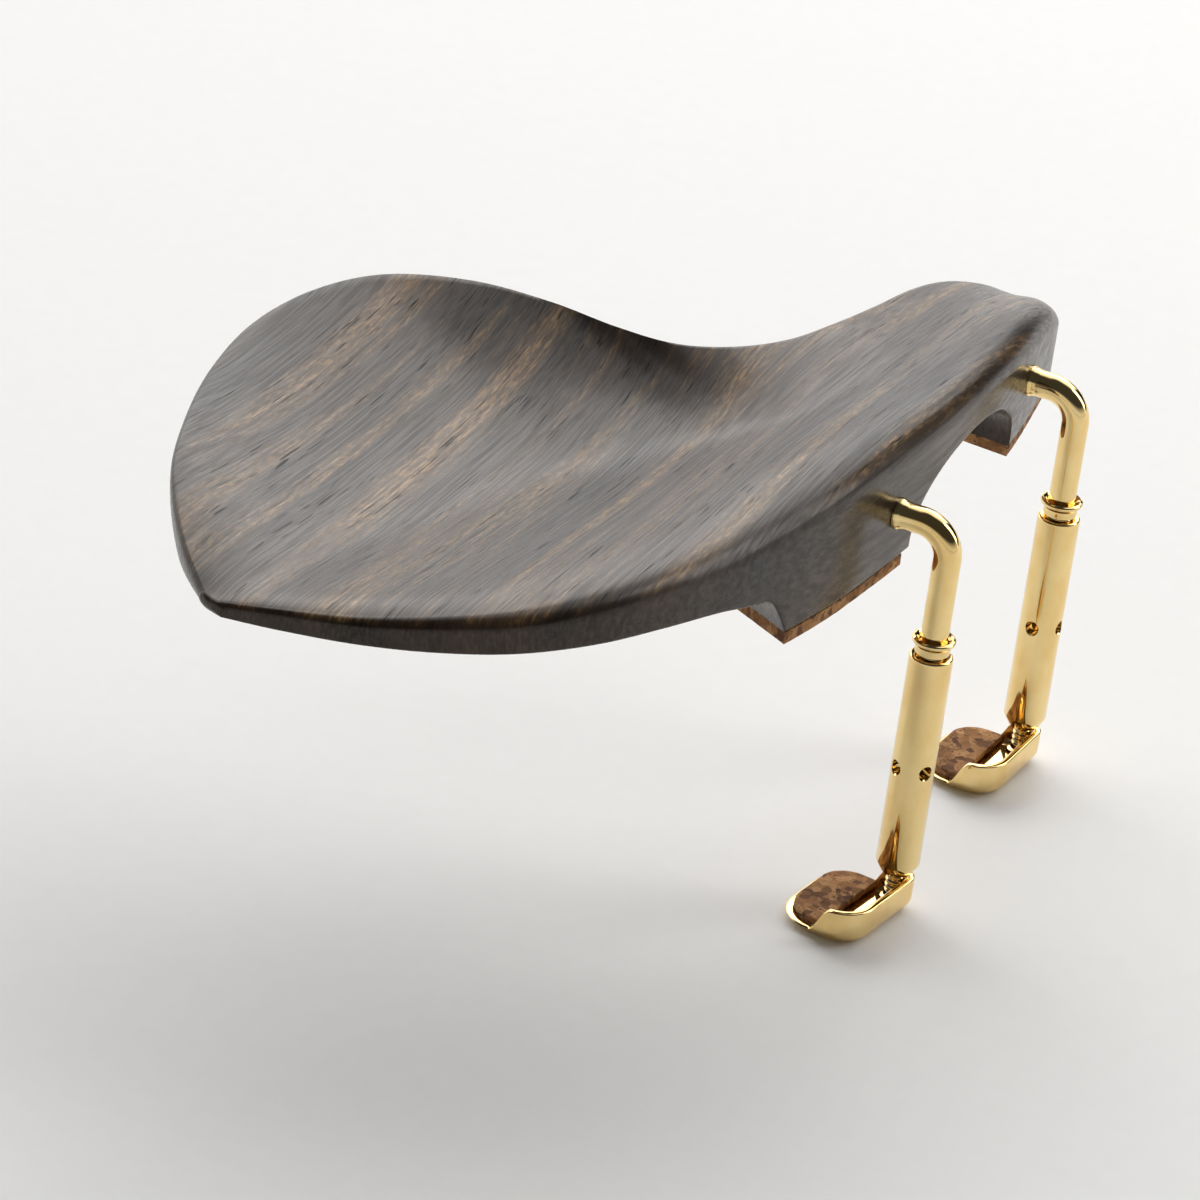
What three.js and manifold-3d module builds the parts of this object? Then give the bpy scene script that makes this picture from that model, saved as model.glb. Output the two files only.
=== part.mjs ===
// Violin chin rest: a carved ebony plate standing on two cork-lined feet, held to the
// violin's lower end by two separate turnbuckle clamps, one each side of the end button.
//
// Millimetres. +X runs across the violin to the treble side, +Y from its lower end
// towards the scroll, +Z up out of its top. Coordinates are written from the middle of the
// violin's lower end, at the top of its edge; the group then moves them so that the
// origin is the middle of the bass-side cork pad's lower face.
import * as THREE from 'three';
import { mergeVertices } from 'three/addons/utils/BufferGeometryUtils.js';
import Module from 'manifold-3d';

const wasm = await Module();
wasm.setup();

// ---- driving dimensions --------------------------------------------------------------
const ORIGIN = new THREE.Vector3(-28, 9, 0);
const RIB_HEIGHT = 37.6;          // top edge to underside of the back, both plates included
const PAD = 1.5;                  // cork under the plate
const GAP = 0.3;                  // between neighbouring pieces
const FOOT_Z = PAD + GAP;         // underside of the plate's two feet
const FOOT_DEPTH = 12;            // of the plate's feet, from the wall inwards
const NOTCH_X = -41.7;            // outer end of the bass-side foot
const NOTCH_RUN = 4.4;            // over which that foot slopes up to the free edge
const ARCH_X = -0.5;              // middle of the arch over the saddle and tailgut
const ARCH_HALF = 15.2;
const ARCH_TOP = 10.4;

const CLAMP_X = 20.0;             // each clamp from the middle
const CLAMP_Y = -3.8;
const HOOK_Z = 8.0;               // axis of the hook's threaded end in the wood
const HOOK_R = 1.5;
const HOOK_BEND = 3.6;            // radius of the bend's centre line
const HOOK_IN = 11.6;             // inner end of the thread in the wood
const HOOK_DOWN = -19.2;          // lower end of the hook, inside the barrel
const BORE_R = HOOK_R + GAP;
const BEAD_R = 1.8;               // shoulder on the hook, just outside the wood
const BEAD_Y = 1.4;
const COLLAR_TOP = -5.2;
const COLLAR_LOW = -7.1;
const BARREL_TOP = COLLAR_LOW - GAP;
const BARREL_LOW = -34.8;
const BARREL_R = 2.45;
const KEY_HOLE_R = 0.9;           // cross holes for the tightening key
const KEY_HOLE_Z = -21.2;
const STUD_R = 1.05;
const STUD_TOP = -23.2;
const FOOT_CORK = 0.8;
const TRAY_FLOOR = -RIB_HEIGHT - FOOT_CORK - GAP;
const TRAY_LOW = TRAY_FLOOR - 0.7;
const STUD_LOW = TRAY_LOW + 1.9;
const TRAY_TOP = BARREL_LOW - 0.4;
const TRAY_WALL = 0.85;

// ---- materials -----------------------------------------------------------------------
const ebony = { color: 0x4a423b, roughness: 0.45, metalness: 0 };
const cork = { color: 0xa87b4e, roughness: 0.95, metalness: 0 };
const gold = { color: 0xe2b75a, roughness: 0.18, metalness: 1 };

const object = new THREE.Group();
const model = new THREE.Group();
model.position.copy(ORIGIN).negate();
object.add(model);

function add(name, geometry, look, parent = model) {
  const mesh = new THREE.Mesh(geometry, new THREE.MeshStandardMaterial(look));
  mesh.name = name;
  parent.add(mesh);
  return mesh;
}

// ---- geometry helpers ------------------------------------------------------------------
function signedVolume(vertices, index) {
  const a = new THREE.Vector3();
  const b = new THREE.Vector3();
  const c = new THREE.Vector3();
  let sum = 0;
  for (let i = 0; i < index.length; i += 3) {
    a.fromArray(vertices, 3 * index[i]);
    b.fromArray(vertices, 3 * index[i + 1]);
    c.fromArray(vertices, 3 * index[i + 2]);
    sum += a.dot(b.cross(c));
  }
  return sum;
}

// Closed skin over a run of rings with equally many points; each end is closed by a fan
// about its middle.
function loft(rings) {
  const n = rings[0].length;
  const vertices = rings.flat().flatMap((p) => [p.x, p.y, p.z]);
  const index = [];
  for (let r = 0; r + 1 < rings.length; r++) {
    for (let i = 0; i < n; i++) {
      const a = r * n + i;
      const b = r * n + (i + 1) % n;
      index.push(a, b, b + n, a, b + n, a + n);
    }
  }
  const fan = (ring, base, ascending) => {
    const middle = ring.reduce((sum, p) => sum.add(p), new THREE.Vector3()).divideScalar(n);
    const hub = vertices.length / 3;
    vertices.push(middle.x, middle.y, middle.z);
    for (let i = 0; i < n; i++) {
      const a = base + i;
      const b = base + (i + 1) % n;
      index.push(hub, ascending ? a : b, ascending ? b : a);
    }
  };
  fan(rings[0], 0, false);
  fan(rings.at(-1), (rings.length - 1) * n, true);
  if (signedVolume(vertices, index) < 0) {
    index.reverse();
  }
  const geometry = new THREE.BufferGeometry();
  geometry.setAttribute('position', new THREE.Float32BufferAttribute(vertices, 3));
  geometry.setIndex(index);
  return geometry;
}

// Flat slab with the same outline above and below.
function slab(outline, low, high) {
  const at = (z) => outline.map((p) => new THREE.Vector3(p.x, p.y, z));
  return loft([at(low), at(high)]);
}

// A turned piece about Z from a closed profile of [radius, z] pairs.
function turned(profile, segments = 28) {
  const points = [...profile, profile[0]].map(([r, z]) => new THREE.Vector2(r, z));
  const geometry = new THREE.LatheGeometry(points, segments);
  geometry.rotateX(Math.PI / 2);
  return geometry;
}

function solid(geometry) {
  const plain = geometry.clone();
  for (const name of Object.keys(plain.attributes)) {
    if (name !== 'position') {
      plain.deleteAttribute(name);
    }
  }
  const merged = mergeVertices(plain, 1e-4);
  const vertProperties = new Float32Array(merged.attributes.position.array);
  const all = Array.from(merged.index.array);
  const triVerts = [];
  for (let i = 0; i < all.length; i += 3) {
    const [a, b, c] = all.slice(i, i + 3);
    if (a !== b && b !== c && c !== a) {
      triVerts.push(a, b, c);
    }
  }
  if (signedVolume(vertProperties, triVerts) < 0) {
    triVerts.reverse();
  }
  return new wasm.Manifold(new wasm.Mesh({
    numProp: 3,
    vertProperties,
    triVerts: Uint32Array.from(triVerts),
  }));
}

function toGeometry(body) {
  const mesh = body.getMesh();
  const geometry = new THREE.BufferGeometry();
  geometry.setAttribute('position', new THREE.BufferAttribute(mesh.vertProperties, 3));
  geometry.setIndex(new THREE.BufferAttribute(mesh.triVerts, 1));
  return geometry;
}

function carve(geometry, ...tools) {
  return toGeometry(tools.reduce((body, tool) => body.subtract(solid(tool)), solid(geometry)));
}

// ---- the carved plate --------------------------------------------------------------------
// Stations run from the bass-side corner to the treble tip. At each one a section spans the
// plate from the outer wall to the rim nearest the scroll.
//   wall: x, y of the outer wall and the height of its raised crest
//   rim:  x, y, z of the rim nearest the scroll
//   inset: how far the crest stands in from the wall; dish: depth of the hollow between
//   low: height of the wall's lower edge away from the feet
const STATIONS = [
  { wall: [-88.2, 50.0, 11.3], rim: [-87.3, 52.6, 11.4], inset: 0.7, dish: 0.0, low: 9.8 },
  { wall: [-86.9, 43.6, 11.9], rim: [-80.5, 59.0, 13.6], inset: 0.8, dish: 0.8, low: 9.7 },
  { wall: [-84.8, 35.7, 12.5], rim: [-71.5, 64.8, 15.5], inset: 1.0, dish: 2.0, low: 9.7 },
  { wall: [-81.7, 28.4, 13.4], rim: [-60.5, 68.9, 16.0], inset: 1.2, dish: 3.2, low: 9.8 },
  { wall: [-77.2, 21.6, 14.2], rim: [-48.8, 71.9, 16.1], inset: 1.5, dish: 4.1, low: 9.9 },
  { wall: [-70.0, 16.0, 14.8], rim: [-37.0, 73.0, 16.4], inset: 1.8, dish: 4.7, low: 9.6 },
  { wall: [-62.0, 12.0, 15.2], rim: [-26.8, 70.9, 17.0], inset: 2.1, dish: 5.0, low: 9.2 },
  { wall: [-54.0, 9.1, 15.5], rim: [-19.2, 65.9, 17.5], inset: 2.4, dish: 5.1, low: 8.4 },
  { wall: [-46.0, 6.9, 16.0], rim: [-15.4, 57.2, 17.9], inset: 2.6, dish: 5.0, low: 6.9 },
  { wall: [-38.5, 5.1, 16.5], rim: [-15.0, 48.0, 18.0], inset: 2.8, dish: 4.6, low: 7.0 },
  { wall: [-31.5, 3.8, 16.9], rim: [-16.2, 39.5, 18.0], inset: 2.9, dish: 4.0, low: 7.4 },
  { wall: [-25.0, 3.0, 17.1], rim: [-16.0, 32.5, 18.0], inset: 3.0, dish: 3.2, low: 7.4 },
  { wall: [-18.0, 2.3, 17.2], rim: [-12.4, 26.9, 17.9], inset: 3.0, dish: 2.4, low: 7.4 },
  { wall: [-10.0, 1.7, 17.0], rim: [-6.0, 22.9, 17.5], inset: 3.0, dish: 1.7, low: 7.4 },
  { wall: [0.0, 1.4, 16.6], rim: [2.5, 20.7, 16.8], inset: 3.0, dish: 1.3, low: 7.4 },
  { wall: [10.0, 1.6, 15.9], rim: [12.0, 19.4, 15.6], inset: 3.0, dish: 1.0, low: 7.4 },
  { wall: [19.0, 2.2, 15.1], rim: [20.5, 18.3, 14.7], inset: 3.0, dish: 0.8, low: 7.4 },
  { wall: [27.0, 3.1, 13.6], rim: [27.6, 16.7, 13.4], inset: 2.8, dish: 0.5, low: 7.4 },
  { wall: [33.0, 4.0, 11.7], rim: [33.2, 14.0, 11.6], inset: 2.4, dish: 0.3, low: 7.4 },
  { wall: [36.8, 5.2, 9.3], rim: [36.9, 11.3, 9.3], inset: 1.6, dish: 0.1, low: 6.0 },
  { wall: [38.3, 7.2, 7.6], rim: [38.5, 9.0, 7.6], inset: 0.6, dish: 0.0, low: 5.0 },
];
const PLATE_STEPS = 46;           // sections along the plate
const TOP_STEPS = 12;             // points across its top
const UNDER_STEPS = 8;
const THICKNESS = 3.9;

const path = (pick) => new THREE.CatmullRomCurve3(STATIONS.map(pick), false, 'catmullrom', 0.5);
const wallCurve = path((s) => new THREE.Vector3(...s.wall));
const rimCurve = path((s) => new THREE.Vector3(...s.rim));
const traits = path((s) => new THREE.Vector3(s.inset, s.dish, s.low));

// Where along the stations the wall reaches a given x.
function stationAt(x) {
  let low = 0;
  let high = 1;
  for (let i = 0; i < 40; i++) {
    const mid = (low + high) / 2;
    if (wallCurve.getPoint(mid).x < x) {
      low = mid;
    } else {
      high = mid;
    }
  }
  return (low + high) / 2;
}

// Height of the plate's standing edge: the feet, the arch between them, or the free wall.
function standingHeight(x, low) {
  if (x < NOTCH_X) {
    const t = Math.min((NOTCH_X - x) / NOTCH_RUN, 1);
    return THREE.MathUtils.lerp(FOOT_Z, low, Math.sin((Math.PI / 2) * t));
  }
  const across = (x - ARCH_X) / ARCH_HALF;
  if (Math.abs(across) < 1) {
    return FOOT_Z + (ARCH_TOP - FOOT_Z) * Math.pow(1 - across * across, 0.42);
  }
  return FOOT_Z;
}

function hollow(t) {
  const turn = 0.45;
  const x = t / turn;
  return t < turn ? x * x * (3 - 2 * x) : 1 - Math.pow((t - turn) / (1 - turn), 2);
}

// How far a foot reaches in from the wall, where the plate is this wide.
function footDepth(span) {
  return Math.min(FOOT_DEPTH, 0.72 * span - 0.2);
}

function section(u) {
  const wall = wallCurve.getPoint(u);
  const rim = rimCurve.getPoint(u);
  const { x: inset, y: dish, z: low } = traits.getPoint(u);
  const across = new THREE.Vector2(rim.x - wall.x, rim.y - wall.y);
  const span = across.length();
  across.normalize();
  const crest = wall.z;
  const edge = Math.min(0.7, 0.2 * span);
  const top = (s) => {
    const t = THREE.MathUtils.clamp((s - inset) / (span - inset), 0, 1);
    return crest + (rim.z - crest) * t - dish * hollow(t);
  };
  const standing = standingHeight(wall.x, low);
  const free = wall.x < NOTCH_X - NOTCH_RUN;
  const inner = span - 1.5 * edge;
  const depth = footDepth(span);
  const step = Math.min(0.5, 0.06 * span);
  const under = (s) => {
    const blend = THREE.MathUtils.smoothstep(s, 0, Math.min(7, 0.6 * span));
    const thin = Math.min(THICKNESS, rim.z - low - 0.2);
    const wing = Math.max(top(s) - thin, free ? 0 : standing + 0.3);
    return THREE.MathUtils.lerp(free ? low : wing, wing, blend);
  };
  const outline = [];
  const roll = Math.min(1.1 * inset, crest - low - 0.4);
  for (let i = 0; i <= 2; i++) {
    outline.push([0, THREE.MathUtils.lerp(standing, crest - roll, i / 2)]);
  }
  for (let i = 1; i <= 4; i++) {
    const a = (Math.PI / 2) * (i / 4);
    outline.push([inset * (1 - Math.cos(a)), crest - roll + roll * Math.sin(a)]);
  }
  for (let i = 1; i <= TOP_STEPS; i++) {
    const s = THREE.MathUtils.lerp(inset, span - edge, i / TOP_STEPS);
    outline.push([s, top(s)]);
  }
  const lip = Math.min(THICKNESS, rim.z - low - 0.2);
  outline.push([span - 0.2 * edge, rim.z - 0.3 * edge]);
  outline.push([span, rim.z - edge - 0.2]);
  outline.push([span - 0.4 * edge, rim.z - 0.72 * lip]);
  for (let i = 0; i <= UNDER_STEPS; i++) {
    const s = THREE.MathUtils.lerp(inner, depth + step, i / UNDER_STEPS);
    outline.push([s, under(s)]);
  }
  const flat = (s) => (free ? under(s) : standing);
  outline.push([depth, flat(depth)]);
  outline.push([0.5 * depth, flat(0.5 * depth)]);
  return outline.map(([s, z]) => new THREE.Vector3(
    wall.x + across.x * s,
    wall.y + across.y * s,
    z,
  ));
}

function plateStations() {
  const list = [];
  for (let i = 0; i <= PLATE_STEPS; i++) {
    list.push(i / PLATE_STEPS);
  }
  for (const x of [NOTCH_X - NOTCH_RUN - 0.3, NOTCH_X - NOTCH_RUN, NOTCH_X - 2, NOTCH_X]) {
    list.push(stationAt(x));
  }
  for (const side of [-1, 1]) {
    for (const f of [1.03, 0.995, 0.95, 0.86]) {
      list.push(stationAt(ARCH_X + side * f * ARCH_HALF));
    }
  }
  list.sort((a, b) => a - b);
  return list.filter((u, i) => i === 0 || u - list[i - 1] > 0.0015);
}

const body = loft(plateStations().map(section));

function threadHole(x) {
  const tool = new THREE.CylinderGeometry(BORE_R, BORE_R, 14, 20);
  tool.translate(x, 5.0, HOOK_Z);
  return tool;
}
add('rest_plate', carve(body, threadHole(-CLAMP_X), threadHole(CLAMP_X)), ebony);

// ---- cork pads under the plate's feet -------------------------------------------------------
function padGeometry(fromX, toX) {
  const outer = [];
  const inner = [];
  const steps = 8;
  for (let i = 0; i <= steps; i++) {
    const u = stationAt(THREE.MathUtils.lerp(fromX, toX, i / steps));
    const wall = wallCurve.getPoint(u);
    const rim = rimCurve.getPoint(u);
    const across = new THREE.Vector2(rim.x - wall.x, rim.y - wall.y);
    const depth = footDepth(across.length());
    across.normalize();
    outer.push(new THREE.Vector2(wall.x + 0.3 * across.x, wall.y + 0.3 * across.y));
    inner.push(new THREE.Vector2(
      wall.x + (depth - 0.3) * across.x,
      wall.y + (depth - 0.3) * across.y,
    ));
  }
  return slab([...outer, ...inner.reverse()], 0, PAD);
}
add('cork_pad_bass', padGeometry(NOTCH_X + 0.4, ARCH_X - ARCH_HALF - 0.8), cork);
add('cork_pad_treble', padGeometry(ARCH_X + ARCH_HALF + 0.8, 37.2), cork);

// ---- the clamps ------------------------------------------------------------------------------
function circle(centre, normal, radius, sides = 14) {
  const side = new THREE.Vector3(1, 0, 0);
  const up = new THREE.Vector3().crossVectors(normal, side);
  return Array.from({ length: sides }, (_, i) => {
    const a = (2 * Math.PI * i) / sides;
    return centre.clone()
      .addScaledVector(side, radius * Math.cos(a))
      .addScaledVector(up, radius * Math.sin(a));
  });
}

// Bent rod: threaded into the wood along Y, over the edge, down into the barrel.
function hookGeometry() {
  const inward = new THREE.Vector3(0, -1, 0);
  const down = new THREE.Vector3(0, 0, -1);
  const rings = [];
  const level = (y, r) => rings.push(circle(new THREE.Vector3(0, y, HOOK_Z), inward, r));
  level(HOOK_IN, HOOK_R - 0.4);
  level(HOOK_IN - 0.4, HOOK_R);
  level(BEAD_Y + 0.5, HOOK_R);
  level(BEAD_Y + 0.25, BEAD_R);
  level(BEAD_Y - 0.25, BEAD_R);
  level(BEAD_Y - 0.5, HOOK_R);
  const bendY = CLAMP_Y + HOOK_BEND;
  const bendZ = HOOK_Z - HOOK_BEND;
  for (let i = 0; i <= 7; i++) {
    const a = (Math.PI / 2) * (i / 7);
    const centre = new THREE.Vector3(
      0,
      bendY - HOOK_BEND * Math.sin(a),
      bendZ + HOOK_BEND * Math.cos(a),
    );
    rings.push(circle(centre, new THREE.Vector3(0, -Math.cos(a), -Math.sin(a)), HOOK_R));
  }
  const drop = (z, r) => rings.push(circle(new THREE.Vector3(0, CLAMP_Y, z), down, r));
  drop(HOOK_DOWN + 0.4, HOOK_R);
  drop(HOOK_DOWN, HOOK_R - 0.4);
  return loft(rings);
}

const collarProfile = [
  [BORE_R, COLLAR_LOW],
  [2.1, COLLAR_LOW],
  [2.1, COLLAR_TOP - 1.1],
  [2.4, COLLAR_TOP - 0.95],
  [2.5, COLLAR_TOP - 0.6],
  [2.45, COLLAR_TOP - 0.15],
  [2.3, COLLAR_TOP],
  [2.0, COLLAR_TOP - 0.1],
  [BORE_R, COLLAR_TOP - 0.35],
];

const barrelProfile = [
  [STUD_R + GAP, BARREL_LOW],
  [1.8, BARREL_LOW],
  [BARREL_R, BARREL_LOW + 1.2],
  [BARREL_R, BARREL_TOP - 0.5],
  [2.05, BARREL_TOP],
  [BORE_R, BARREL_TOP],
  [BORE_R, KEY_HOLE_Z + 1.2],
  [STUD_R + GAP, KEY_HOLE_Z + 0.8],
];

function barrelGeometry(turn) {
  const holes = [0, Math.PI / 2].map((quarter) => {
    const tool = new THREE.CylinderGeometry(KEY_HOLE_R, KEY_HOLE_R, 8, 12);
    tool.rotateZ(turn + quarter);
    tool.translate(0, 0, KEY_HOLE_Z);
    return tool;
  });
  return carve(turned(barrelProfile), ...holes);
}

// Rounded outline of the tray, drawn in from its full size; the stud stands at 0, 0.
const TRAY = { left: -12.4, right: 2.0, outer: -2.2, inner: 8.8 };
const TRAY_CORNERS = { outerRight: 2.0, innerRight: 4.5, innerLeft: 5, outerLeft: 4 };

function trayOutline(inset, z) {
  const { left, right, outer, inner } = TRAY;
  const corners = [
    [right, outer, TRAY_CORNERS.outerRight, -1, 1, -90],
    [right, inner, TRAY_CORNERS.innerRight, -1, -1, 0],
    [left, inner, TRAY_CORNERS.innerLeft, 1, -1, 90],
    [left, outer, TRAY_CORNERS.outerLeft, 1, 1, 180],
  ];
  return corners.flatMap(([x, y, radius, sx, sy, start]) => {
    const centre = [x + sx * radius, y + sy * radius];
    const r = Math.max(radius - inset, 0.3);
    return [0, 18, 36, 54, 72, 90].map((step) => {
      const a = THREE.MathUtils.degToRad(start + step);
      return new THREE.Vector3(centre[0] + r * Math.cos(a), centre[1] + r * Math.sin(a), z);
    });
  });
}

// Bent-plate tray: a floor under the violin's back and a wall round the outer side.
function trayGeometry() {
  const hull = loft([
    trayOutline(3.0, TRAY_LOW),
    trayOutline(1.9, TRAY_LOW + 0.25),
    trayOutline(1.0, TRAY_LOW + 0.8),
    trayOutline(0.4, TRAY_LOW + 1.6),
    trayOutline(0.1, TRAY_LOW + 2.6),
    trayOutline(0, TRAY_LOW + 3.6),
    trayOutline(0, TRAY_TOP),
  ]);
  const pocket = loft([
    trayOutline(2.7, TRAY_FLOOR),
    trayOutline(1.6, TRAY_FLOOR + 0.7),
    trayOutline(TRAY_WALL + 0.15, TRAY_FLOOR + 1.8),
    trayOutline(TRAY_WALL, TRAY_FLOOR + 2.8),
    trayOutline(TRAY_WALL, TRAY_TOP + 1),
  ]);
  const socket = new THREE.CylinderGeometry(STUD_R + GAP, STUD_R + GAP, 8, 16);
  socket.rotateX(Math.PI / 2);
  socket.translate(0, 0, STUD_LOW - GAP + 4);
  const clear = new THREE.BoxGeometry(24, 12, 12);
  clear.translate(-6, 2.2 + 6, TRAY_FLOOR + 6);
  return carve(hull, pocket, clear, socket);
}

function footCorkGeometry() {
  const outline = trayOutline(1.1, 0)
    .map((p) => new THREE.Vector2(p.x, Math.max(p.y, 2.5)))
    .filter((p, i, all) => i === 0 || p.distanceTo(all[i - 1]) > 0.05);
  return slab(outline, -RIB_HEIGHT - FOOT_CORK, -RIB_HEIGHT);
}

function rod(radius, low, high, sides = 16) {
  const rings = [
    [low, radius],
    [high - 0.3, radius],
    [high, radius - 0.3],
  ].map(([z, r]) => circle(new THREE.Vector3(0, 0, z), new THREE.Vector3(0, 0, 1), r, sides));
  return loft(rings);
}

// Each clamp: hook, lock collar, turnbuckle barrel, stud, tray and its cork.
function addClamp(side, x, trayTurn, keyTurn) {
  const clamp = new THREE.Group();
  clamp.position.x = x;
  model.add(clamp);
  add(`hook_${side}`, hookGeometry(), gold, clamp);

  const axis = new THREE.Group();
  axis.position.y = CLAMP_Y;
  clamp.add(axis);
  add(`lock_collar_${side}`, turned(collarProfile), gold, axis);
  add(`barrel_${side}`, barrelGeometry(keyTurn), gold, axis);
  add(`stud_${side}`, rod(STUD_R, STUD_LOW, STUD_TOP), gold, axis);

  const tray = new THREE.Group();
  tray.rotation.z = THREE.MathUtils.degToRad(trayTurn);
  axis.add(tray);
  add(`foot_${side}`, trayGeometry(), gold, tray);
  add(`foot_cork_${side}`, footCorkGeometry(), cork, tray);
}

addClamp('bass', -CLAMP_X, -9, THREE.MathUtils.degToRad(-40));
addClamp('treble', CLAMP_X, -4, THREE.MathUtils.degToRad(-40));

export default object;
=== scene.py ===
"""Violin chin rest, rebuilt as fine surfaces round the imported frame.

Run as a script inside Blender. Each operator in the sidebar panel makes one group of
pieces, and main() calls them in order. Everything is in the row frame: +X across the
violin to its treble side, +Y towards the scroll, +Z up out of its top, in metres.
"""

import math

import bmesh
import bpy
from bpy.props import FloatProperty, FloatVectorProperty, IntProperty, PointerProperty
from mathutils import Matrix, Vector, noise


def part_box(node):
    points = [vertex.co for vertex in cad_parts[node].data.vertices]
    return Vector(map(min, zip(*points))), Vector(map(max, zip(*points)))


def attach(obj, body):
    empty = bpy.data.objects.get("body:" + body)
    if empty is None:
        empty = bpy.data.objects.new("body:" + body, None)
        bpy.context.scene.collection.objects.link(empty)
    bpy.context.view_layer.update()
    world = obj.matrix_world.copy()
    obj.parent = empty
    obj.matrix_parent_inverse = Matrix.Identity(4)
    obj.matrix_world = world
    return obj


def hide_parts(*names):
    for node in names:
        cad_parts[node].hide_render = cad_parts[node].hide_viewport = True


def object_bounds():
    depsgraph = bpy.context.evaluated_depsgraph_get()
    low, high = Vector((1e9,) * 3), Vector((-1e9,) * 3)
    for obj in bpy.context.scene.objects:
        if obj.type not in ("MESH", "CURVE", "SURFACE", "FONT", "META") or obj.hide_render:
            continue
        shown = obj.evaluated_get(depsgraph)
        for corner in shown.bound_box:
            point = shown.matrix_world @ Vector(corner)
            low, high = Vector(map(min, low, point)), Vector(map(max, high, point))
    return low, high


bl_info = {
    "name": "Violin Chin Rest",
    "version": (1, 0, 0),
    "blender": (4, 5, 0),
    "location": "3D View > Sidebar > Chin Rest",
    "description": "Makes an ebony chin rest with gold turnbuckle clamps",
    "category": "Object",
}

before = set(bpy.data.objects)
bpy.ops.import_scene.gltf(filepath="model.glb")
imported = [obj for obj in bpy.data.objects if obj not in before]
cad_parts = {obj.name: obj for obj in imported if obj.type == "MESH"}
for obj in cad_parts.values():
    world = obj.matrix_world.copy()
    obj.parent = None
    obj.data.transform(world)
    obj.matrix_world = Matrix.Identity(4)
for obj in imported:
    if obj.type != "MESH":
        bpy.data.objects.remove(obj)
CAD_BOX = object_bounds()

MM = 0.001
SIDES = ("bass", "treble")
X_WAY = Vector((1, 0, 0))
Y_WAY = Vector((0, 1, 0))
Z_WAY = Vector((0, 0, 1))

# Radii of the turned parts and the hook's bend, in millimetres.
HOOK_R = 1.56
HOOK_BEND = 3.6
BEAD_R = 1.8
BARREL_R = 2.45
STUD_R = 1.05
# Degrees that each tray and each barrel's cross holes are turned about the clamp's axis.
TRAY_TURN = {"bass": -9.0, "treble": -4.0}
KEY_TURN = {"bass": -35.0, "treble": -6.0}


# ---- the frame's own places ---------------------------------------------------------------
def middle(node):
    low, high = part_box(node)
    return (low + high) / 2


def bottom(node):
    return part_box(node)[0].z


def top(node):
    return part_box(node)[1].z


# ---- sizes and colours a user would change ----------------------------------------------------
def linear(hex_colour):
    """sRGB hex text as linear red, green, blue."""
    values = [int(hex_colour[i : i + 2], 16) / 255 for i in (1, 3, 5)]
    return tuple(v / 12.92 if v <= 0.04045 else ((v + 0.055) / 1.055) ** 2.4 for v in values)


def length_prop(name, description, default_mm):
    return FloatProperty(
        name=name, description=description, default=default_mm * MM, unit="LENGTH", precision=5
    )


def colour_prop(name, description, hex_colour):
    return FloatVectorProperty(
        name=name,
        description=description,
        default=linear(hex_colour),
        subtype="COLOR",
        min=0.0,
        max=1.0,
    )


class PlateSettings(bpy.types.PropertyGroup):
    edge_round: length_prop("Edge round", "Radius left by sanding on the standing edges", 0.4)
    lip_round: length_prop("Lip round", "Radius on the rim nearest the scroll", 0.75)
    bore_clearance: length_prop("Bore clearance", "Round each hook where it enters the wood", 0.06)
    sections: IntProperty(
        name="Sections", description="Sections along the plate", default=230, min=40
    )
    ebony_dark: colour_prop("Ebony dark", "Heartwood between the streaks", "#181310")
    ebony_mid: colour_prop("Ebony mid", "Grey-brown heartwood", "#392C23")
    ebony_streak: colour_prop("Ebony streak", "Tan streaks along the grain", "#A98558")


class ClampSettings(bpy.types.PropertyGroup):
    pitch: length_prop("Thread pitch", "Rise of the screw threads in one turn", 0.7)
    thread_depth: length_prop("Thread depth", "Depth of the screw threads", 0.22)
    key_hole: length_prop("Key hole radius", "Radius of the barrel's cross holes", 0.8)
    wall: length_prop("Foot wall", "Thickness of the foot's bent plate", 0.85)
    gold: colour_prop("Gold", "Gold plating on brass", "#F5DA9C")


class CorkSettings(bpy.types.PropertyGroup):
    granule: length_prop("Granule", "Size of the cork granules", 0.9)
    light: colour_prop("Cork light", "Pale cork granules", "#B98A5A")
    dark: colour_prop("Cork dark", "Dark granules and pits", "#5E3B22")


class StageSettings(bpy.types.PropertyGroup):
    floor: colour_prop("Floor", "Pale studio floor", "#F4F3F1")
    azimuth: FloatProperty(
        name="Azimuth", description="Camera direction", default=-69.4, unit="NONE"
    )
    elevation: FloatProperty(
        name="Elevation", description="Camera height", default=28.0, unit="NONE"
    )
    roll: FloatProperty(name="Roll", description="Camera roll", default=7.7, unit="NONE")
    distance: length_prop("Distance", "From the camera to the object's middle", 686.0)
    view_angle: FloatProperty(
        name="View angle", description="Of the whole frame", default=11.0, unit="NONE"
    )


def settings(name):
    return getattr(bpy.context.scene, "chin_rest_" + name)


# ---- mesh helpers -----------------------------------------------------------------------------
def skin(rings):
    """A mesh through rings of equally many points, closed round each ring and at both ends."""
    made = bmesh.new()
    rows = [[made.verts.new(p) for p in ring] for ring in rings]
    count = len(rows[0])
    for here, after in zip(rows, rows[1:]):
        for i in range(count):
            j = (i + 1) % count
            made.faces.new((here[i], here[j], after[j], after[i]))
    made.faces.new(rows[0][::-1])
    made.faces.new(rows[-1])
    return made


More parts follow.
